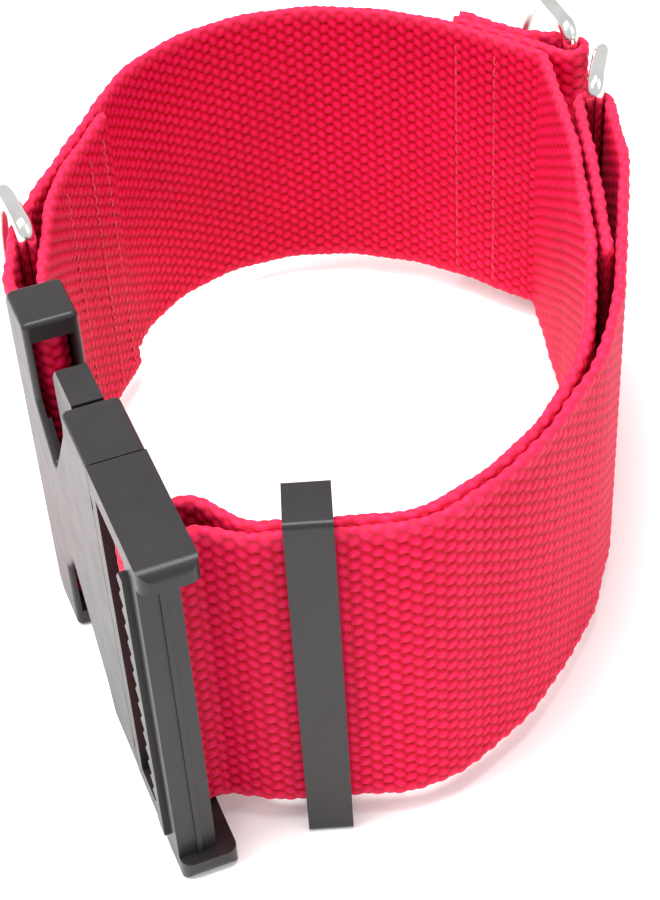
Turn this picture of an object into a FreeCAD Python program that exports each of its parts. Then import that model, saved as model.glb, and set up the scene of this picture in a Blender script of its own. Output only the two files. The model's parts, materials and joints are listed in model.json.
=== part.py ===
"""Webbing strap with a side release buckle, a keeper and three D rings. Millimetres, +Z up."""

import math
import os

import FreeCAD
import Part

os.makedirs("parts", exist_ok=True)
V = FreeCAD.Vector

# ---- driving dimensions -------------------------------------------------
WEB_W = 75.0  # webbing width
WEB_T = 2.4  # webbing thickness
BUCKLE_H = 86.0  # buckle, keeper and ring height
BUCKLE_T = 11.6  # buckle thickness
BUCKLE_L = 91.0  # both halves closed
END_BLOCK_L = 15.5  # female end block
MOUTH_U0 = 43.0  # mouth block start
MOUTH_U1 = 59.5  # mouth block end
MALE_U0 = 59.8  # male frame start
RAIL = 4.8  # male frame rail
BAR_U0 = 70.0  # centre bar start
BAR_U1 = 75.5  # centre bar end
END_BAR_U0 = 81.2  # end bar start
CENTRE_V0 = 3.6  # centre bar, outer side
CENTRE_V1 = 7.4  # centre bar, inner side
SLIP = 0.2  # clearance of webbing round a bar
CAP_OVER = 2.8  # how far the caps reach past the end bar
ROUND = 1.3  # rounding of the moulded edges
WIRE = 4.0  # ring wire
RING_DEPTH = 33.0  # ring, bar centre to the far side of the wire
RING_STRAIGHT = 12.0  # straight limb of the ring
KEEPER_L = 9.0  # keeper along the strap
KEEPER_WALL = 3.0
LAYER_GAP = 0.3  # air between two layers that lie together
LAYER = WEB_T + LAYER_GAP  # centre distance of two such layers
FLAP_SHIFT = 0.0  # moves the end of the folded flap along the strap

BUCKLE_AT = (-63.8, -17.7)
BUCKLE_DEG = -70.9
SHIFT = (-0.244, 0.701)  # puts the middle of the whole on the origin

MID_Z = BUCKLE_H / 2
WEB_Z0 = MID_Z - WEB_W / 2
WEB_Z1 = MID_Z + WEB_W / 2
DIR_U = (math.cos(math.radians(BUCKLE_DEG)), math.sin(math.radians(BUCKLE_DEG)))
DIR_V = (-DIR_U[1], DIR_U[0])


def at(u, v):
    """Plan point of a place along and across the buckle."""
    x = BUCKLE_AT[0] + u * DIR_U[0] + v * DIR_V[0]
    y = BUCKLE_AT[1] + u * DIR_U[1] + v * DIR_V[1]
    return (x, y)


def corner(p, r):
    return (p[0], p[1], r)


# ---- the course of the webbing, middle of its thickness, corner by corner ----
BAR_R = 1.6
WRAP_R = BAR_R + SLIP + WEB_T / 2
FEMALE_BAR = (8.5, BUCKLE_T / 2)
WRAP_U = FEMALE_BAR[0] + WRAP_R
V_IN = FEMALE_BAR[1] + WRAP_R
V_OUT = FEMALE_BAR[1] - WRAP_R
LAD_V = CENTRE_V0 - SLIP - WEB_T / 2
LAD_U0 = BAR_U0 - SLIP - WEB_T / 2
LAD_U1 = BAR_U1 + SLIP + WEB_T / 2
RING_R = WIRE / 2 + 0.25 + WEB_T / 2
RING_LEFT = (-60.9, 4.0)
RING_OUTER = (65.0, 45.0)
POCKET = WIRE / 2 + WEB_T / 2 + 0.3  # bar of the left ring to each layer beside it
POCKET_IN = RING_LEFT[0] + POCKET
POCKET_OUT = RING_LEFT[0] - POCKET
FRONT_Y = -85.8
TURN_Y = RING_OUTER[1] + RING_R

COURSE = [
    (-47.0, 53.5 + FLAP_SHIFT, 0.0),
    (POCKET_IN, 24.5, 60.0),
    (POCKET_IN, -9.3, 20.0),
    corner(at(WRAP_U, V_IN), WRAP_R - 0.05),
    corner(at(WRAP_U, V_OUT), WRAP_R - 0.05),
    (POCKET_OUT, -7.4, 12.0),
    (POCKET_OUT, 9.5, 15.0),
    (-60.3, 24.3, 25.0),
    (-44.2, 69.5, 35.0),
    (-30.0, 88.5, 48.0),
    (0.0, 96.5, 50.0),
    (30.0, 88.0, 75.0),
    (56.0, 67.0, 2.5),
    (58.4, 30.0, 80.0),
    (56.9, -8.0, 80.0),
    (51.5, -44.0, 75.0),
    (35.5, -70.0, 70.0),
    (16.0, FRONT_Y, 22.0),
    (-15.5, FRONT_Y, 8.0),
    corner(at(LAD_U0, 16.5), 6.0),
    corner(at(LAD_U0, LAD_V), 1.6),
    corner(at(LAD_U1, LAD_V), 1.6),
    corner(at(LAD_U1, 14.5), 5.0),
    (-15.5, FRONT_Y - LAYER, 8.0),
    (17.0, FRONT_Y - LAYER, 24.7),
    (37.3, -72.1, 72.0),
    (53.9, -45.2, 60.0),
    (60.4, -24.0, 50.0),
    (RING_OUTER[0] + RING_R, 22.0, 50.0),
    (RING_OUTER[0] + RING_R, TURN_Y, RING_R - 0.05),
    (RING_OUTER[0] - RING_R, TURN_Y, RING_R - 0.05),
    (61.3, 20.0, 60.0),
    (59.9, -12.0, 0.0),
]


def course(corners):
    """Lines and arcs of a rounded polyline, and the length at which each corner's arc ends."""
    parts = []
    ends = [0.0]
    total = 0.0
    here = V(corners[0][0], corners[0][1], 0)
    for i in range(1, len(corners) - 1):
        a = V(corners[i - 1][0], corners[i - 1][1], 0)
        b = V(corners[i][0], corners[i][1], 0)
        c = V(corners[i + 1][0], corners[i + 1][1], 0)
        e = (a - b).normalize()
        f = (c - b).normalize()
        half = math.acos(max(-1.0, min(1.0, e.dot(f)))) / 2
        t = corners[i][2] / math.tan(half)
        first = b + e * t
        last = b + f * t
        middle = b + (e + f).normalize() * (corners[i][2] / math.sin(half))
        line = (first - here).Length
        if line > 1e-4 and (first - here).dot(b - a) > 0:
            parts.append(("line", here, first, total))
            total += line
        start = math.atan2(first.y - middle.y, first.x - middle.x)
        stop = math.atan2(last.y - middle.y, last.x - middle.x)
        sweep = (stop - start + math.pi) % (2 * math.pi) - math.pi
        parts.append(("arc", middle, corners[i][2], start, sweep, total))
        total += abs(sweep) * corners[i][2]
        ends.append(total)
        here = last
    end = V(corners[-1][0], corners[-1][1], 0)
    parts.append(("line", here, end, total))
    total += (end - here).Length
    ends.append(total)
    return parts, ends, total


def cut(parts, s0, s1):
    """The lines and arcs between two lengths along the course."""
    out = []
    for p in parts:
        if p[0] == "line":
            a = p[3]
            size = (p[2] - p[1]).Length
        else:
            a = p[5]
            size = abs(p[4]) * p[2]
        low = max(s0, a)
        high = min(s1, a + size)
        if high - low < 1e-4:
            continue
        g = (low - a) / size
        h = (high - a) / size
        if p[0] == "line":
            out.append(("line", p[1] + (p[2] - p[1]) * g, p[1] + (p[2] - p[1]) * h))
        else:
            out.append(("arc", p[1], p[2], p[3] + p[4] * g, p[4] * (h - g)))
    return out


def side(piece, off):
    """One edge of a ribbon: the piece moved off to its left."""
    if piece[0] == "line":
        d = (piece[2] - piece[1]).normalize()
        n = V(-d.y, d.x, 0) * off
        return [piece[1] + n, piece[2] + n]
    turn = 1 if piece[4] > 0 else -1
    r = piece[2] - turn * off
    pts = []
    for k in (0.0, 0.5, 1.0):
        w = piece[3] + piece[4] * k
        pts.append(piece[1] + V(r * math.cos(w), r * math.sin(w), 0))
    return pts


def edge(pts):
    if len(pts) == 2:
        return Part.makeLine(pts[0], pts[1])
    return Part.Arc(pts[0], pts[1], pts[2]).toShape()


def ribbon(pieces, t=WEB_T, z0=WEB_Z0, z1=WEB_Z1, off=0.0):
    """A strip of webbing standing on edge along the pieces."""
    left = [side(p, off + t / 2) for p in pieces]
    right = [side(p, off - t / 2) for p in pieces]
    edges = [edge(p) for p in left]
    edges.append(Part.makeLine(left[-1][-1], right[-1][-1]))
    edges += [edge(p[::-1]) for p in right[::-1]]
    edges.append(Part.makeLine(right[0][0], left[0][0]))
    face = Part.Face(Part.Wire(edges))
    face.translate(V(0, 0, z0))
    return face.extrude(V(0, 0, z1 - z0))


WEB, ENDS, LENGTH = course(COURSE)


def span(i, j, f0=0.5, f1=0.5):
    """Webbing from the straight after corner i to the straight after corner j."""
    s0 = 0.0 if i == 0 else ENDS[i] + f0 * straight(i)
    s1 = LENGTH if j >= len(COURSE) - 1 else ENDS[j] + f1 * straight(j)
    return cut(WEB, s0, s1)


def straight(i):
    for p in WEB:
        if p[0] == "line" and abs(p[3] - ENDS[i]) < 1e-3:
            return (p[2] - p[1]).Length
    return 0.0


nodes = {}
nodes["webbing_flap"] = ribbon(span(0, 2, f1=0.0))
nodes["webbing_buckle_wrap"] = ribbon(span(2, 4, f0=0.0, f1=1.0))
nodes["webbing_left"] = ribbon(span(4, 7, f0=1.0))
nodes["webbing_back_left"] = ribbon(span(7, 10, f1=0.0))
nodes["webbing_back_right"] = ribbon(span(10, 12, f0=0.0, f1=0.0))
nodes["webbing_right_back"] = ribbon(span(12, 13, f0=0.0, f1=0.2))
nodes["webbing_right_inner"] = ribbon(span(13, 15, f0=0.2, f1=0.8))
nodes["webbing_front_inner"] = ribbon(span(15, 18, f0=0.8, f1=0.2))
nodes["webbing_ladder_wrap"] = ribbon(span(18, 23, f0=0.2, f1=0.0))
nodes["webbing_front_outer"] = ribbon(span(23, 26, f0=0.0, f1=0.0))
nodes["webbing_right_outer"] = ribbon(span(26, 28, f0=0.0, f1=0.1))
nodes["webbing_tail_loop"] = ribbon(span(28, 30, f0=0.1, f1=0.3))
nodes["webbing_tail_end"] = ribbon(span(30, 32, f0=0.3))

# ---- tab that holds the inner ring on the outside of the back ----
CREASE = V(56.0, 67.0, 0)
ALONG = (V(30.0, 88.0, 0) - CREASE).normalize()
OUT = V(ALONG.y, -ALONG.x, 0)
S = RING_R + LAYER + 0.25  # bar of the inner ring to the back panel
RING_INNER_V = CREASE - ALONG * 3.4 + OUT * S
RING_INNER = (RING_INNER_V.x, RING_INNER_V.y)
TAB_L = 27.0


def beside(along, out):
    p = CREASE + ALONG * along + OUT * out
    return (p.x, p.y)


TAB = [
    corner(beside(TAB_L, LAYER), 0.0),
    corner(beside(9.0, LAYER), 6.0),
    corner(beside(2.0, S - RING_R), 6.0),
    corner(beside(-3.4 - RING_R, S - RING_R), RING_R - 0.05),
    corner(beside(-3.4 - RING_R, S + RING_R), RING_R - 0.05),
    corner(beside(0.5, S + RING_R), 5.0),
    corner(beside(9.0, 2 * LAYER), 6.0),
    corner(beside(TAB_L, 2 * LAYER), 0.0),
]
TAB_PARTS, TAB_ENDS, TAB_LEN = course(TAB)
nodes["ring_tab"] = ribbon(cut(TAB_PARTS, 0.0, TAB_LEN))


# ---- D rings ----
def d_ring(at_xy, deg):
    """A ring of round wire: straight vertical bar, two limbs and a bowed far side."""
    h = BUCKLE_H / 2 - WIRE / 2
    r = 3.0
    reach = RING_DEPTH - WIRE / 2
    c = math.radians(45)
    edges = []
    edges.append(Part.makeLine(V(0, 0, MID_Z - h + r), V(0, 0, MID_Z + h - r)))
    low = V(r - r * math.cos(c), 0, MID_Z - h + r - r * math.sin(c))
    high = V(r - r * math.cos(c), 0, MID_Z + h - r + r * math.sin(c))
    edges.append(Part.Arc(V(0, 0, MID_Z + h - r), high, V(r, 0, MID_Z + h)).toShape())
    edges.append(Part.makeLine(V(r, 0, MID_Z + h), V(RING_STRAIGHT, 0, MID_Z + h)))
    middle = V(RING_STRAIGHT, 0, MID_Z)
    bow = Part.Ellipse(V(RING_STRAIGHT, 0, MID_Z + h), V(reach, 0, MID_Z), middle)
    edges.append(Part.Arc(bow, 0.0, math.pi).toShape())
    edges.append(Part.makeLine(V(RING_STRAIGHT, 0, MID_Z - h), V(r, 0, MID_Z - h)))
    edges.append(Part.Arc(V(r, 0, MID_Z - h), low, V(0, 0, MID_Z - h + r)).toShape())
    circle = Part.Wire(Part.Circle(V(0, 0, MID_Z), V(0, 0, 1), WIRE / 2).toShape())
    path = Part.Wire(rolled(edges))
    ring = path.makePipeShell([circle], True, False, 2)
    ring.rotate(V(0, 0, 0), V(0, 0, 1), deg)
    ring.translate(V(at_xy[0], at_xy[1], 0))
    return ring


def rolled(edges):
    """The same closed path, started in the middle of the bar."""
    first = edges[0]
    a = first.Vertexes[0].Point
    b = first.Vertexes[1].Point
    m = V(0, 0, MID_Z)
    return [Part.makeLine(m, b)] + edges[1:] + [Part.makeLine(a, m)]


nodes["d_ring_left"] = d_ring(RING_LEFT, 111.0)
nodes["d_ring_inner"] = d_ring(RING_INNER, 106.0)
nodes["d_ring_outer"] = d_ring(RING_OUTER, 76.0)


# ---- buckle ----
def block(u0, u1, v0, v1, z0, z1):
    return Part.makeBox(u1 - u0, v1 - v0, z1 - z0, V(u0, v0, z0))


def plate(pts, v0, v1):
    """An outline along the buckle and up, made thick across it."""
    loop = [V(u, v0, z) for u, z in pts]
    loop.append(loop[0])
    return Part.Face(Part.makePolygon(loop)).extrude(V(0, v1 - v0, 0))


def mirrored(pts):
    return [(u, BUCKLE_H - z) for u, z in pts]


def put(shape):
    shape.rotate(V(0, 0, 0), V(0, 0, 1), BUCKLE_DEG)
    shape.translate(V(BUCKLE_AT[0], BUCKLE_AT[1], 0))
    return shape


def eased(shape, r, keep):
    """Rounds the edges whose middle passes the test."""
    chosen = []
    for e in shape.Edges:
        m = e.valueAt((e.FirstParameter + e.LastParameter) / 2)
        if keep(m):
            chosen.append(e)
    return shape.makeFillet(r, chosen)


def ends_of(u):
    """Edges across the buckle at one end."""
    def test(m):
        return abs(m.x - u) < 0.01 and (m.z < 0.01 or m.z > BUCKLE_H - 0.01)
    return test


WALL = 2.2
END_WALL = 1.4
CHANNEL_V0 = min(END_WALL, V_OUT - WEB_T / 2 - SLIP)
CHANNEL_V1 = max(BUCKLE_T - END_WALL, V_IN + WEB_T / 2 + SLIP)
half = [
    (0, MID_Z),
    (0, BUCKLE_H - 3.0),
    (3.0, BUCKLE_H),
    (END_BLOCK_L, BUCKLE_H),
    (END_BLOCK_L, BUCKLE_H - 19.0),
    (24.3, BUCKLE_H - 30.0),
    (40.3, BUCKLE_H - 7.5),
    (MOUTH_U0, BUCKLE_H),
    (MOUTH_U1, BUCKLE_H),
]
outline = half[1:] + mirrored(half[1:])[::-1]
female = plate(outline, 0, BUCKLE_T)
female = eased(female, ROUND, lambda m: m.x < MOUTH_U1 - 0.3)
female = female.cut(block(-1, 18.0, CHANNEL_V0, CHANNEL_V1, WEB_Z0 - 0.9, WEB_Z1 + 0.9))
female = female.cut(block(17.5, 70, WALL, BUCKLE_T - WALL, 5.0, BUCKLE_H - 5.0))
nodes["female_housing"] = put(female)
bar = Part.makeCylinder(
    BAR_R, WEB_W + 1.8, V(FEMALE_BAR[0], FEMALE_BAR[1], WEB_Z0 - 0.9), V(0, 0, 1)
)
nodes["female_webbing_bar"] = put(bar)

PIVOT_U = 57.2
PIVOT_Z = BUCKLE_H - 9.0
PRONG_V0 = WALL + 0.4
PRONG_V1 = BUCKLE_T - WALL - 0.4
male = block(MALE_U0, BUCKLE_L, 0, BUCKLE_T, 0, BUCKLE_H)
male = eased(male, 2.4, lambda m: m.x > BUCKLE_L - 0.3)
male = male.cut(block(64, END_BAR_U0, -1, BUCKLE_T + 1, RAIL, BUCKLE_H - RAIL))
male = male.cut(block(END_BAR_U0 - 1, 95, 7.8, BUCKLE_T + 1, RAIL, BUCKLE_H - RAIL))
male = male.cut(
    block(BUCKLE_L - CAP_OVER, 95, -1, BUCKLE_T + 1, RAIL, BUCKLE_H - RAIL)
)
ridge = block(BUCKLE_L - CAP_OVER - 0.5, BUCKLE_L - CAP_OVER + 0.5, 3.9, 5.0, RAIL, BUCKLE_H - RAIL)
male = male.fuse(ridge).removeSplitter()
for z in (PIVOT_Z, BUCKLE_H - PIVOT_Z):
    male = male.cut(Part.makeCylinder(3.3, 20, V(PIVOT_U, -2, z), V(0, 1, 0)))
nodes["male_frame"] = put(male)
nodes["male_centre_bar"] = put(
    block(BAR_U0, BAR_U1, CENTRE_V0, CENTRE_V1, RAIL, BUCKLE_H - RAIL)
)

TEETH = 17
TOOTH_OUT = 1.3  # how far the teeth stand out of the outer face
teeth = []
step = (BUCKLE_H - 2 * RAIL - 4) / TEETH
for k in range(TEETH):
    z = RAIL + 2 + k * step
    teeth += [(END_BAR_U0 - 0.1, z), (END_BAR_U0 - 2.0, z + step * 0.35)]
teeth.append((END_BAR_U0 - 0.1, BUCKLE_H - RAIL - 2))
teeth += [(END_BAR_U0 + 2.2, BUCKLE_H - RAIL - 2), (END_BAR_U0 + 2.2, RAIL + 2)]
nodes["male_grip_teeth"] = put(plate(teeth, -TOOTH_OUT, 0))

LUG = [
    (PIVOT_U, PIVOT_Z + 3.0),
    (41.2, PIVOT_Z + 3.0),
    (40.8, BUCKLE_H - 1.5),
    (29.5, BUCKLE_H - 1.5),
    (26.0, BUCKLE_H - 5.5),
    (26.0, PIVOT_Z - 8.0),
    (36.0, PIVOT_Z - 9.0),
    (44.0, PIVOT_Z - 3.0),
    (PIVOT_U, PIVOT_Z - 3.0),
]


def prong(pts, z):
    root = Part.makeCylinder(3.0, PRONG_V1 - PRONG_V0, V(PIVOT_U, PRONG_V0, z), V(0, 1, 0))
    return plate(pts, PRONG_V0, PRONG_V1).fuse(root).removeSplitter()


nodes["upper_prong"] = put(prong(LUG, PIVOT_Z))
nodes["lower_prong"] = put(prong(mirrored(LUG), BUCKLE_H - PIVOT_Z))
nodes["centre_guide"] = put(block(38.0, MALE_U0, CENTRE_V0, BUCKLE_T - 3.6, MID_Z - 6, MID_Z + 6))

# ---- keeper ----
KEEPER_X = -4.7
hole_y0 = FRONT_Y - LAYER - WEB_T / 2 - 0.4
hole_y1 = FRONT_Y + WEB_T / 2 + 0.4
ky0 = hole_y0 - KEEPER_WALL
ky1 = hole_y1 + KEEPER_WALL
kx0 = KEEPER_X - KEEPER_L / 2
keeper = Part.makeBox(KEEPER_L, ky1 - ky0, BUCKLE_H, V(kx0, ky0, 0))
keeper = keeper.makeFillet(1.2, [e for e in keeper.Edges if abs(e.tangentAt(0).x) > 0.9])
hole = Part.makeBox(
    KEEPER_L + 2, hole_y1 - hole_y0, WEB_W + 1.6, V(kx0 - 1, hole_y0, WEB_Z0 - 0.8)
)
nodes["keeper"] = keeper.cut(hole)


# ---- stitch rows: low ridges of thread on the faces they show on ----
def row(parts, s, off, z0=WEB_Z0 + 3, z1=WEB_Z1 - 3, wide=0.9, proud=0.35):
    side_off = off + math.copysign(proud / 2, off)
    return ribbon(cut(parts, s, s + wide), proud, z0, z1, side_off)


nodes["stitch_flap_tip"] = row(WEB, 4.0, WEB_T / 2)
nodes["stitch_flap_mid"] = row(WEB, 12.0, WEB_T / 2)
nodes["stitch_flap_low"] = row(WEB, 26.0, WEB_T / 2)
back = ENDS[11] + straight(11)
nodes["stitch_tab_far"] = row(WEB, back - 23.0, -WEB_T / 2)
nodes["stitch_tab_near"] = row(WEB, back - 12.0, -WEB_T / 2)
nodes["stitch_tail_tip"] = row(WEB, LENGTH - 5.0, -WEB_T / 2)

for name, shape in nodes.items():
    if shape.ShapeType == "Shell":
        shape = Part.Solid(shape)
    shape.translate(V(SHIFT[0], SHIFT[1], 0))
    nodes[name] = shape
    shape.exportStep("parts/%s.step" % name)

box = FreeCAD.BoundBox()
for shape in nodes.values():
    box.add(shape.BoundBox)
print("box", round(box.XMin, 2), round(box.XMax, 2), round(box.YMin, 2), round(box.YMax, 2))
print("box z", round(box.ZMin, 2), round(box.ZMax, 2), "nodes", len(nodes))
print("webbing length", round(LENGTH, 1), "tab", round(TAB_LEN, 1))
for name, p in (("left", RING_LEFT), ("inner", RING_INNER), ("outer", RING_OUTER)):
    print("ring", name, round(p[0] + SHIFT[0], 2), round(p[1] + SHIFT[1], 2))
p = at(PIVOT_U, 5.8)
print("pivot", round(p[0] + SHIFT[0], 3), round(p[1] + SHIFT[1], 3))
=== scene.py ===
import json
import math

import bmesh
import bpy
import numpy as np
from mathutils import Matrix, Vector

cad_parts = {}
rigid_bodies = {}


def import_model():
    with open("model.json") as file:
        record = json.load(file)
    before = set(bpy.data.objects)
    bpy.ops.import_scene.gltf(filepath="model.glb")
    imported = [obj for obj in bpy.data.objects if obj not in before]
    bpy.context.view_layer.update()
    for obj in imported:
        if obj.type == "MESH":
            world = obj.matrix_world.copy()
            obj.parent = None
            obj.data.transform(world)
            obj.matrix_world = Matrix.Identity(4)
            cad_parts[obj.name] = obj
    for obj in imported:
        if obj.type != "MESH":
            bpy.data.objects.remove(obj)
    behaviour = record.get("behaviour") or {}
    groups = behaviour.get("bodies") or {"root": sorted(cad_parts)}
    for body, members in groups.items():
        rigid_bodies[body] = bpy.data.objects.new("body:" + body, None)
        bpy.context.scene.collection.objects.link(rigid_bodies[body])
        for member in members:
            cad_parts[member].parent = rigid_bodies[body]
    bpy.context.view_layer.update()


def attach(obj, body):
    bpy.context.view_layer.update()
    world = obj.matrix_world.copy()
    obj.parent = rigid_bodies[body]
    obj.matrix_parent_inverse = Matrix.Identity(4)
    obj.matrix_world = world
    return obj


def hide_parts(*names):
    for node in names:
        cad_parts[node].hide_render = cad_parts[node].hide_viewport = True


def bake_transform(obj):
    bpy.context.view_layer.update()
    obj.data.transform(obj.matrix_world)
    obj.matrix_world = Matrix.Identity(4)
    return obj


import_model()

MM = 0.001
SHIFT = np.array((-0.244, 0.701))  # the same move as in the CAD
WEB_W = 75.0
MID_Z = 43.0
LAYER = 2.7
CORE = 0.85  # half thickness of the webbing under its ribs
RIB = 0.42  # height of a rib over the core
PITCH_S = 2.2  # rib columns along the strap
STEP_S = PITCH_S / 4.6  # mesh step along the strap
MEAN_RIB = 0.55  # part of a rib's height taken as the mean surface
FUSED = 1.6  # length over which a cut end thins
SELVEDGE = 2.2  # width of the edge band

# ---------------------------------------------------------------- the course of the webbing
BUCKLE_AT = (-63.8, -17.7)
BUCKLE_DEG = -70.9
DU = np.array((math.cos(math.radians(BUCKLE_DEG)), math.sin(math.radians(BUCKLE_DEG))))
DV = np.array((-DU[1], DU[0]))


def at(u, v, r=0.0):
    x, y = np.array(BUCKLE_AT) + u * DU + v * DV
    return (x, y, r)


def build_course(corners):
    parts, ends, total = [], [0.0], 0.0
    here = np.array(corners[0][:2], float)
    for i in range(1, len(corners) - 1):
        a, b, c = (np.array(corners[k][:2], float) for k in (i - 1, i, i + 1))
        e, f = (a - b) / np.linalg.norm(a - b), (c - b) / np.linalg.norm(c - b)
        half = math.acos(max(-1, min(1, e @ f))) / 2
        r = corners[i][2]
        first, last = b + e * r / math.tan(half), b + f * r / math.tan(half)
        g = e + f
        mid = b + g / np.linalg.norm(g) * r / math.sin(half)
        line = np.linalg.norm(first - here)
        if line > 1e-4 and (first - here) @ (b - a) > 0:
            parts.append(("line", here, first, total, line))
            total += line
        w0 = math.atan2(*(first - mid)[::-1])
        w1 = math.atan2(*(last - mid)[::-1])
        sweep = (w1 - w0 + math.pi) % (2 * math.pi) - math.pi
        parts.append(("arc", mid, r, w0, sweep, total, abs(sweep) * r))
        total += abs(sweep) * r
        ends.append(total)
        here = last
    end = np.array(corners[-1][:2], float)
    size = np.linalg.norm(end - here)
    parts.append(("line", here, end, total, size))
    ends.append(total + size)
    return parts, ends, total + size


def sample(parts, s):
    """Plan points and left normals of the course at each length in s."""
    xy, nn = np.zeros((len(s), 2)), np.zeros((len(s), 2))
    for p in parts:
        a, size = (p[3], p[4]) if p[0] == "line" else (p[5], p[6])
        k = (s >= a - 1e-6) & (s <= a + size + 1e-6)
        if p[0] == "line":
            d = (p[2] - p[1]) / size
            xy[k] = p[1] + (s[k] - a)[:, None] * d
            nn[k] = (-d[1], d[0])
        else:
            w = p[3] + p[4] * (s[k] - a) / size
            out = np.stack([np.cos(w), np.sin(w)], 1)
            xy[k] = p[1] + p[2] * out
            nn[k] = -out if p[4] > 0 else out
    return xy + SHIFT, nn


WRAP_R, BAR_U, BAR_V = 3.0, 8.5, 5.8  # turn round the bar of the female half
LAD_U0, LAD_U1, LAD_V = 68.6, 76.9, 2.2  # turn round the centre bar of the male half
RING_R = 3.45  # webbing round a ring's bar
TAB_OUT = 6.4  # bar of the inner ring to the back panel
TAB_BACK = -3.4
RING_LEFT, RING_OUTER = (-60.9, 4.0), (65.0, 45.0)
FRONT_Y = -85.8
COURSE = [
    (-47.0, 53.5, 0), (-57.4, 24.5, 60), (-57.4, -9.3, 20),
    at(BAR_U + WRAP_R, BAR_V + WRAP_R, WRAP_R - 0.05),
    at(BAR_U + WRAP_R, BAR_V - WRAP_R, WRAP_R - 0.05),
    (-64.4, -7.4, 12), (-64.4, 9.5, 15), (-60.3, 24.3, 25), (-44.2, 69.5, 35), (-30, 88.5, 48),
    (0, 96.5, 50), (30, 88, 75), (56, 67, 2.5), (58.4, 30, 80), (56.9, -8, 80), (51.5, -44, 75),
    (35.5, -70, 70), (16, FRONT_Y, 22), (-15.5, FRONT_Y, 8),
    at(LAD_U0, 16.5, 6), at(LAD_U0, LAD_V, 1.6), at(LAD_U1, LAD_V, 1.6), at(LAD_U1, 14.5, 5),
    (-15.5, FRONT_Y - LAYER, 8), (17, FRONT_Y - LAYER, 24.7), (37.3, -72.1, 72), (53.9, -45.2, 60),
    (60.4, -24, 50), (RING_OUTER[0] + RING_R, 22, 50),
    (RING_OUTER[0] + RING_R, RING_OUTER[1] + RING_R, RING_R - 0.05),
    (RING_OUTER[0] - RING_R, RING_OUTER[1] + RING_R, RING_R - 0.05),
    (61.3, 20, 60), (59.9, -12, 0),
]
WEB, ENDS, LENGTH = build_course(COURSE)
CREASE = np.array((56.0, 67.0))
ALONG = (np.array((30.0, 88.0)) - CREASE) / np.linalg.norm(np.array((30.0, 88.0)) - CREASE)
OUT = np.array((ALONG[1], -ALONG[0]))


def beside(along, out, r=0.0):
    x, y = CREASE + ALONG * along + OUT * out
    return (x, y, r)


TAB, TAB_ENDS, TAB_L = build_course([
    beside(27, LAYER), beside(9, LAYER, 6), beside(2, TAB_OUT - RING_R, 6),
    beside(TAB_BACK - RING_R, TAB_OUT - RING_R, RING_R - 0.05),
    beside(TAB_BACK - RING_R, TAB_OUT + RING_R, RING_R - 0.05),
    beside(0.5, TAB_OUT + RING_R, 5), beside(9, 2 * LAYER, 6), beside(27, 2 * LAYER),
])


def straight(i):
    for p in WEB:
        if p[0] == "line" and abs(p[3] - ENDS[i]) < 1e-3:
            return p[4]
    return 0.0


# ---------------------------------------------------------------- woven relief
ROUND = CORE + RIB * MEAN_RIB
FLAT = WEB_W - 2 * ROUND - 0.5
LOOP_Q = 2 * FLAT + 2 * math.pi * ROUND
ROWS = 52
PITCH_Q = LOOP_Q / ROWS


def relief(s, q):
    """Height 0..1 of the weave at length s and at q round the strip: staggered domes, narrow grooves."""
    best = np.full(np.broadcast(s, q).shape, 9.0)
    tilt = np.zeros_like(best)
    base = np.floor(s / PITCH_S)
    for k in (-1, 0, 1):
        c = base + k
        sc = (c + 0.5) * PITCH_S
        odd = np.mod(c, 2)
        r = q / PITCH_Q - 0.5 * odd
        dq = (r - np.round(r)) * PITCH_Q
        ds = s - sc
        lean = np.where(odd > 0.5, 1.0, -1.0)
        d = np.sqrt((ds / 1.50) ** 2 + ((dq + lean * 0.30 * ds) / 1.46) ** 2)
        near = d < best
        best = np.where(near, d, best)
        tilt = np.where(near, 0.16 * dq / PITCH_Q + 0.08 * lean * ds / PITCH_S, tilt)
    h = 1 - np.clip(best / 1.05, 0, 1) ** 2.1
    return np.clip(h + tilt * h, 0, 1.1)


def section(q):
    """Offset across the thickness and up, and the outward direction, at q round the strip."""
    half = FLAT / 2
    arc = math.pi * ROUND
    n, z, dn, dz = (np.zeros_like(q) for _ in range(4))
    k = q < FLAT
    n[k], z[k], dn[k] = 1, -half + q[k], 1
    k = (q >= FLAT) & (q < FLAT + arc)
    w = (q[k] - FLAT) / ROUND
    n[k], z[k], dn[k], dz[k] = np.cos(w), half, np.cos(w), np.sin(w)
    k = (q >= FLAT + arc) & (q < 2 * FLAT + arc)
    n[k], z[k], dn[k] = -1, half - (q[k] - FLAT - arc), -1
    k = q >= 2 * FLAT + arc
    w = math.pi + (q[k] - 2 * FLAT - arc) / ROUND
    n[k], z[k], dn[k], dz[k] = np.cos(w), -half, np.cos(w), np.sin(w)
    return n, z, dn, dz


def mesh_object(name, co, faces):
    me = bpy.data.meshes.new(name)
    co = np.asarray(co, np.float32)
    faces = np.asarray(faces, np.int32)
    me.vertices.add(len(co))
    me.vertices.foreach_set("co", co.ravel())
    me.loops.add(faces.size)
    me.loops.foreach_set("vertex_index", faces.ravel())
    me.polygons.add(len(faces))
    me.polygons.foreach_set("loop_start", np.arange(0, faces.size, faces.shape[1], dtype=np.int32))
    me.update(calc_edges=True)
    me.validate()
    me.polygons.foreach_set("use_smooth", np.full(len(me.polygons), True))
    ob = bpy.data.objects.new(name, me)
    bpy.context.scene.collection.objects.link(ob)
    return ob


def value_attribute(ob, name, values):
    a = ob.data.attributes.new(name, "FLOAT", "POINT")
    a.data.foreach_set("value", np.asarray(values, np.float32).ravel())


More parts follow.
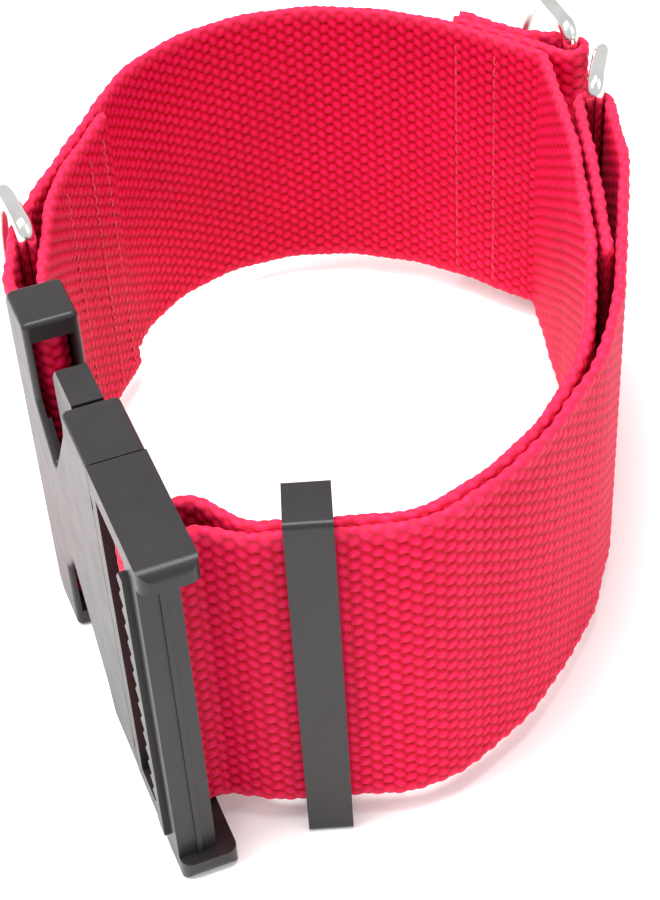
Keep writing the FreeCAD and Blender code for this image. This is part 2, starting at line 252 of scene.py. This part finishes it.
def webbing(name, parts, s0, s1, cap0=False, cap1=False):
    """A woven strip from s0 to s1, closed all round, with fused ends where it is cut."""
    n_s = max(4, int(round((s1 - s0) / STEP_S)))
    s = np.linspace(s0, s1, n_s + 1)
    n_q = ROWS * 5
    q = np.arange(n_q) * LOOP_Q / n_q
    on, oz, dn, dz = section(q)
    xy, nn = sample(parts, s)
    h = relief(s[:, None], q[None, :])
    ends = np.ones(len(s))
    if cap0:
        ends = np.minimum(ends, np.clip((s - s0) / FUSED, 0, 1))
    if cap1:
        ends = np.minimum(ends, np.clip((s1 - s) / FUSED, 0, 1))
    ends = np.sqrt(1 - (1 - ends) ** 2)[:, None]
    flat = np.abs(dn)[None, :]
    edge = 1 - np.clip((FLAT / 2 - np.abs(oz)) / SELVEDGE, 0, 1)
    lift = h * RIB * (0.55 + 0.45 * ends) + 0.12 * np.sin(s[:, None] * 0.37) * edge[None, :]
    core = CORE * (0.25 + 0.75 * ends)
    across = dn[None, :] * (core + lift)
    across = np.where(flat < 0.999, dn[None, :] * (ROUND * ends + (lift - 0.5 * RIB)), across)
    up = oz[None, :] + dz[None, :] * (ROUND + (lift - 0.5 * RIB))
    co = np.zeros((len(s), n_q, 3))
    co[..., 0] = xy[:, None, 0] + nn[:, None, 0] * across
    co[..., 1] = xy[:, None, 1] + nn[:, None, 1] * across
    co[..., 2] = MID_Z + up
    i = np.arange(n_s)[:, None] * n_q
    j = np.arange(n_q)[None, :]
    k = (j + 1) % n_q
    quads = np.stack([i + j, i + n_q + j, i + n_q + k, i + k], -1).reshape(-1, 4)
    ob = mesh_object(name, co.reshape(-1, 3) * MM, quads)
    # the rib height also drives the painted groove shade of the webbing material
    value_attribute(ob, "rib", h)
    value_attribute(ob, "selvedge", np.broadcast_to(edge[None, :], h.shape))
    for k in (0, n_s):
        close_end(ob, k * n_q, n_q, k == 0)
    return ob


def close_end(ob, start, count, flip):
    """Quads across the end of a strip, front edge to back edge."""
    bm = bmesh.new()
    bm.from_mesh(ob.data)
    bm.verts.ensure_lookup_table()
    half = count // 2
    ring = [bm.verts[start + k] for k in range(count)]
    for k in range(half - 1):
        a, b = k, k + 1
        c, d = count - 1 - k - 1, count - 1 - k
        quad = [ring[a], ring[b], ring[c], ring[d]]
        if flip:
            quad = quad[::-1]
        bm.faces.new(quad).smooth = False
    bm.to_mesh(ob.data)
    bm.free()


# ---------------------------------------------------------------- materials
def new_material(name):
    m = bpy.data.materials.new(name)
    m.use_nodes = True
    nt = m.node_tree
    return m, nt, nt.nodes["Principled BSDF"]


def node(nt, kind, **values):
    n = nt.nodes.new(kind)
    for k, v in values.items():
        if k in n.inputs:
            n.inputs[k].default_value = v
        else:
            setattr(n, k, v)
    return n


def ramp(nt, stops, source, interpolation="LINEAR"):
    n = nt.nodes.new("ShaderNodeValToRGB")
    n.color_ramp.interpolation = interpolation
    el = n.color_ramp.elements
    while len(el) < len(stops):
        el.new(0.5)
    for e, (pos, col) in zip(el, stops):
        e.position = pos
        e.color = (*col, 1) if len(col) == 3 else col
    nt.links.new(source, n.inputs["Fac"])
    return n.outputs["Color"]


def mix(nt, kind, fac, a, b):
    n = nt.nodes.new("ShaderNodeMix")
    n.data_type = "RGBA"
    n.blend_type = kind
    for sock, v in ((n.inputs[0], fac), (n.inputs[6], a), (n.inputs[7], b)):
        if hasattr(v, "is_output"):
            nt.links.new(v, sock)
        else:
            sock.default_value = v if isinstance(v, float) else (*v, 1)
    return n.outputs[2]


def attribute(nt, name):
    return node(nt, "ShaderNodeAttribute", attribute_name=name).outputs["Fac"]


def coordinates(nt):
    return nt.nodes.new("ShaderNodeTexCoord").outputs["Object"]


def noise(nt, scale, detail=2.0, rough=0.5, vector=None):
    n = node(nt, "ShaderNodeTexNoise", Scale=scale, Detail=detail, Roughness=rough)
    nt.links.new(vector or coordinates(nt), n.inputs["Vector"])
    return n.outputs["Fac"]


def bump(nt, height, strength, distance, normal=None):
    n = node(nt, "ShaderNodeBump", Strength=strength, Distance=distance)
    nt.links.new(height, n.inputs["Height"])
    if normal is not None:
        nt.links.new(normal, n.inputs["Normal"])
    return n.outputs["Normal"]


def webbing_material():
    m, nt, p = new_material("webbing")
    # painted shade: the base colour darkens from the rib tops (rib near 1) down into the grooves between
    # the ribs (rib near 0)
    groove_shade_to_top = [(0.0, (0.22, 0.0, 0.004)), (0.25, (0.40, 0.0, 0.010)),
                     (0.55, (0.63, 0.001, 0.036)), (1.0, (0.78, 0.010, 0.090))]
    colour = ramp(nt, groove_shade_to_top, attribute(nt, "rib"))
    tint = ramp(nt, [(0.25, (0.90, 0.88, 0.90)), (0.75, (1.06, 1.15, 1.12))], noise(nt, 38.0, 3.0))
    colour = mix(nt, "MULTIPLY", 1.0, colour, tint)
    fibre = noise(nt, 2600.0, 2.0, 0.6)
    fibre_tint = ramp(nt, [(0.3, (0.8, 0.7, 0.75)), (0.7, (1.1, 1.2, 1.15))], fibre)
    colour = mix(nt, "MULTIPLY", 0.5, colour, fibre_tint)
    # painted sheen: the edge bands along the top and bottom of the strip are mixed toward a lighter, pinker
    # colour
    edge_sheen = ramp(nt, [(0.0, (0, 0, 0)), (1.0, (0.35, 0.35, 0.35))], attribute(nt, "selvedge"))
    colour = mix(nt, "MIX", edge_sheen, colour, (0.88, 0.05, 0.12))
    nt.links.new(colour, p.inputs["Base Color"])
    p.inputs["Roughness"].default_value = 0.5
    p.inputs["Specular IOR Level"].default_value = 0.08
    p.inputs["Sheen Weight"].default_value = 0.03
    p.inputs["Sheen Roughness"].default_value = 0.4
    p.inputs["Sheen Tint"].default_value = (1.0, 0.35, 0.55, 1)
    nt.links.new(bump(nt, fibre, 0.55, 0.00022), p.inputs["Normal"])
    return m


def thread_material():
    m, nt, p = new_material("thread")
    c = ramp(nt, [(0.3, (0.50, 0.001, 0.022)), (0.7, (0.70, 0.008, 0.06))], noise(nt, 900.0, 2.0))
    nt.links.new(c, p.inputs["Base Color"])
    p.inputs["Roughness"].default_value = 0.5
    p.inputs["Sheen Weight"].default_value = 0.2
    nt.links.new(bump(nt, noise(nt, 3500.0, 1.0), 0.4, 0.0001), p.inputs["Normal"])
    return m


def plastic_material(name, dark, light, rough):
    m, nt, p = new_material(name)
    cloud = noise(nt, 35.0, 5.0, 0.6)
    c = ramp(nt, [(0.2, dark), (0.8, light)], cloud)
    grain = noise(nt, 2300.0, 2.0, 0.5)
    speckle = ramp(nt, [(0.35, (0.82, 0.82, 0.82)), (0.65, (1.12, 1.12, 1.12))], grain)
    c = mix(nt, "MULTIPLY", 0.35, c, speckle)
    nt.links.new(c, p.inputs["Base Color"])
    r = ramp(nt, [(0.3, (rough - 0.02,) * 3), (0.7, (rough + 0.03,) * 3)], noise(nt, 140.0, 3.0))
    nt.links.new(r, p.inputs["Roughness"])
    p.inputs["Specular IOR Level"].default_value = 0.32
    nt.links.new(bump(nt, grain, 0.25, 0.00006), p.inputs["Normal"])
    return m


def chrome_material():
    m, nt, p = new_material("ring_metal")
    p.inputs["Metallic"].default_value = 1.0
    c = ramp(nt, [(0.35, (0.70, 0.69, 0.67)), (0.65, (0.84, 0.835, 0.82))], noise(nt, 90.0, 3.0))
    nt.links.new(c, p.inputs["Base Color"])
    r = ramp(nt, [(0.3, (0.10,) * 3), (0.7, (0.2,) * 3)], noise(nt, 260.0, 3.0))
    nt.links.new(r, p.inputs["Roughness"])
    nt.links.new(bump(nt, noise(nt, 700.0, 2.0), 0.08, 0.00005), p.inputs["Normal"])
    return m


WEBBING = webbing_material()
THREAD = thread_material()
PLASTIC = plastic_material("buckle_plastic", (0.014, 0.0125, 0.013), (0.022, 0.0195, 0.020), 0.36)
CHROME = chrome_material()


def finish_piece(ob, material):
    ob.data.materials.clear()
    ob.data.materials.append(material)
    return ob


# ---------------------------------------------------------------- webbing pieces
cut_inner = ENDS[13] + 0.2 * straight(13)
cut_outer = ENDS[28] + 0.1 * straight(28)

left = webbing("strap_left_and_back", WEB, 0.0, cut_inner, cap0=True)
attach(finish_piece(left, WEBBING), "strap_base")
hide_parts("webbing_flap", "webbing_buckle_wrap", "webbing_left", "webbing_back_left",
            "webbing_back_right", "webbing_right_back")

front = webbing("strap_front", WEB, cut_inner, cut_outer)
finish_piece(front, WEBBING)
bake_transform(front)
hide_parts("webbing_right_inner", "webbing_front_inner", "webbing_ladder_wrap",
            "webbing_front_outer", "webbing_right_outer")

tail = webbing("strap_tail", WEB, cut_outer, LENGTH, cap1=True)
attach(finish_piece(tail, WEBBING), "strap_base")
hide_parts("webbing_tail_loop", "webbing_tail_end")

tab = webbing("inner_ring_tab", TAB, 0.0, TAB_L, cap0=True, cap1=True)
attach(finish_piece(tab, WEBBING), "strap_base")
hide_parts("ring_tab")


# ---------------------------------------------------------------- stitches
def stitch_row(name, parts, s, side, z0, z1, replaced, pitch=3.2, lean=0.25):
    """A lockstitch row up the webbing: one plump thread loop after another, sunk at both ends."""
    (x, y), n = (a[0] for a in sample(parts, np.array([s])))
    n = n * side
    t = np.array((n[1], -n[0]))
    co, faces, total = [], [], 0
    count = int((z1 - z0) / pitch)
    rings, seg = 9, 8
    for k in range(count):
        za = z0 + (k + 0.06) * pitch
        zb = z0 + (k + 0.94) * pitch
        for i in range(rings):
            f = i / (rings - 1)
            z = za + (zb - za) * f
            lift = CORE + RIB * MEAN_RIB + 0.42 * math.sin(math.pi * f) - 0.25
            r = 0.34 * (0.45 + 0.55 * math.sin(math.pi * f) ** 0.5)
            for j in range(seg):
                w = 2 * math.pi * j / seg
                a = r * math.cos(w) + lean * (f - 0.5)
                b = lift + r * math.sin(w)
                co.append((x + t[0] * a + n[0] * b, y + t[1] * a + n[1] * b, z))
        for i in range(rings - 1):
            for j in range(seg):
                p = total + i * seg
                faces.append((p + j, p + (j + 1) % seg, p + seg + (j + 1) % seg, p + seg + j))
        total += rings * seg
    ob = mesh_object(name, np.array(co) * MM, faces)
    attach(finish_piece(ob, THREAD), "strap_base")
    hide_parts(replaced)
    return ob


Z0, Z1 = MID_Z - WEB_W / 2 + 3, MID_Z + WEB_W / 2 - 3
back = ENDS[11] + straight(11)
stitch_row("stitches_flap_tip", WEB, 4.45, 1, Z0, Z1, "stitch_flap_tip")
stitch_row("stitches_flap_mid", WEB, 12.45, 1, Z0, Z1, "stitch_flap_mid")
stitch_row("stitches_flap_low", WEB, 26.45, 1, Z0, Z1, "stitch_flap_low")
stitch_row("stitches_tab_far", WEB, back - 22.55, -1, Z0, Z1, "stitch_tab_far")
stitch_row("stitches_tab_near", WEB, back - 11.55, -1, Z0, Z1, "stitch_tab_near")
stitch_row("stitches_tail_tip", WEB, LENGTH - 4.55, -1, Z0, Z1, "stitch_tail_tip")

# ---------------------------------------------------------------- CAD pieces that stay: plastic and rings
PLASTIC_NODES = ("female_housing", "female_webbing_bar", "male_frame", "male_centre_bar", "male_grip_teeth",
                 "upper_prong", "lower_prong", "centre_guide", "keeper")
for n in PLASTIC_NODES:
    ob = bpy.data.objects[n]
    ob.data.materials.clear()
    ob.data.materials.append(PLASTIC)
    ob.data.polygons.foreach_set("use_smooth", np.full(len(ob.data.polygons), True))
    plan = ob.modifiers.new("plan", "DECIMATE")
    plan.decimate_type = "DISSOLVE"
    plan.angle_limit = math.radians(2)
    soft = ob.modifiers.new("soft", "BEVEL")
    soft.width = 0.0007 if n != "male_grip_teeth" else 0.00015
    soft.segments = 3
    soft.limit_method = "ANGLE"
    soft.angle_limit = math.radians(28)
    soft.harden_normals = True
for n in ("d_ring_left", "d_ring_inner", "d_ring_outer"):
    ob = bpy.data.objects[n]
    ob.data.materials.clear()
    ob.data.materials.append(CHROME)
    ob.data.polygons.foreach_set("use_smooth", np.full(len(ob.data.polygons), True))

# ---------------------------------------------------------------- floor, light and camera
floor = mesh_object("floor", [(-3, -3, 0), (3, -3, 0), (3, 3, 0), (-3, 3, 0)], [(0, 1, 2, 3)])
m, nt, p = new_material("floor")
p.inputs["Base Color"].default_value = (0.93, 0.925, 0.925, 1)
p.inputs["Roughness"].default_value = 0.7
p.inputs["Emission Color"].default_value = (1, 1, 1, 1)
p.inputs["Emission Strength"].default_value = 0.10
floor.data.materials.append(m)

world = bpy.data.worlds.new("studio")
bpy.context.scene.world = world
world.use_nodes = True
world.node_tree.nodes["Background"].inputs["Color"].default_value = (1, 1, 1, 1)
world.node_tree.nodes["Background"].inputs["Strength"].default_value = 0.80


def lamp(name, place, size, power, target=(0, 0, 0.04)):
    light = bpy.data.lights.new(name, "AREA")
    light.size = size
    light.energy = power
    ob = bpy.data.objects.new(name, light)
    bpy.context.scene.collection.objects.link(ob)
    ob.location = place
    ob.rotation_euler = (Vector(target) - Vector(place)).to_track_quat("-Z", "Y").to_euler()
    return ob


lamp("key", (-0.75, -0.25, 0.95), 0.6, 9.0)
lamp("fill", (0.9, -0.5, 0.9), 0.9, 2.5)
lamp("top", (-0.05, -0.02, 0.8), 0.35, 6.5)

EL, ROLL = math.radians(42), math.radians(-3.76)
right = Vector((1, 0, 0))
up = Vector((0, math.sin(EL), math.cos(EL)))
ahead = Vector((0, math.cos(EL), -math.sin(EL)))
r2 = math.cos(ROLL) * right + math.sin(ROLL) * up
u2 = -math.sin(ROLL) * right + math.cos(ROLL) * up
camera = bpy.data.objects.new("camera", bpy.data.cameras.new("camera"))
bpy.context.scene.collection.objects.link(camera)
camera.data.lens = 80
camera.data.sensor_width = 36
camera.data.clip_start = 0.01
CAMERA_AT = (-0.000244, -0.341299, 0.3273)
m4 = Matrix.Identity(4)
for i in range(3):
    m4[i][0], m4[i][1], m4[i][2] = r2[i], u2[i], -ahead[i]
m4[0][3], m4[1][3], m4[2][3] = CAMERA_AT
camera.matrix_world = m4
bpy.context.scene.camera = camera
bpy.context.scene.view_settings.view_transform = "Standard"
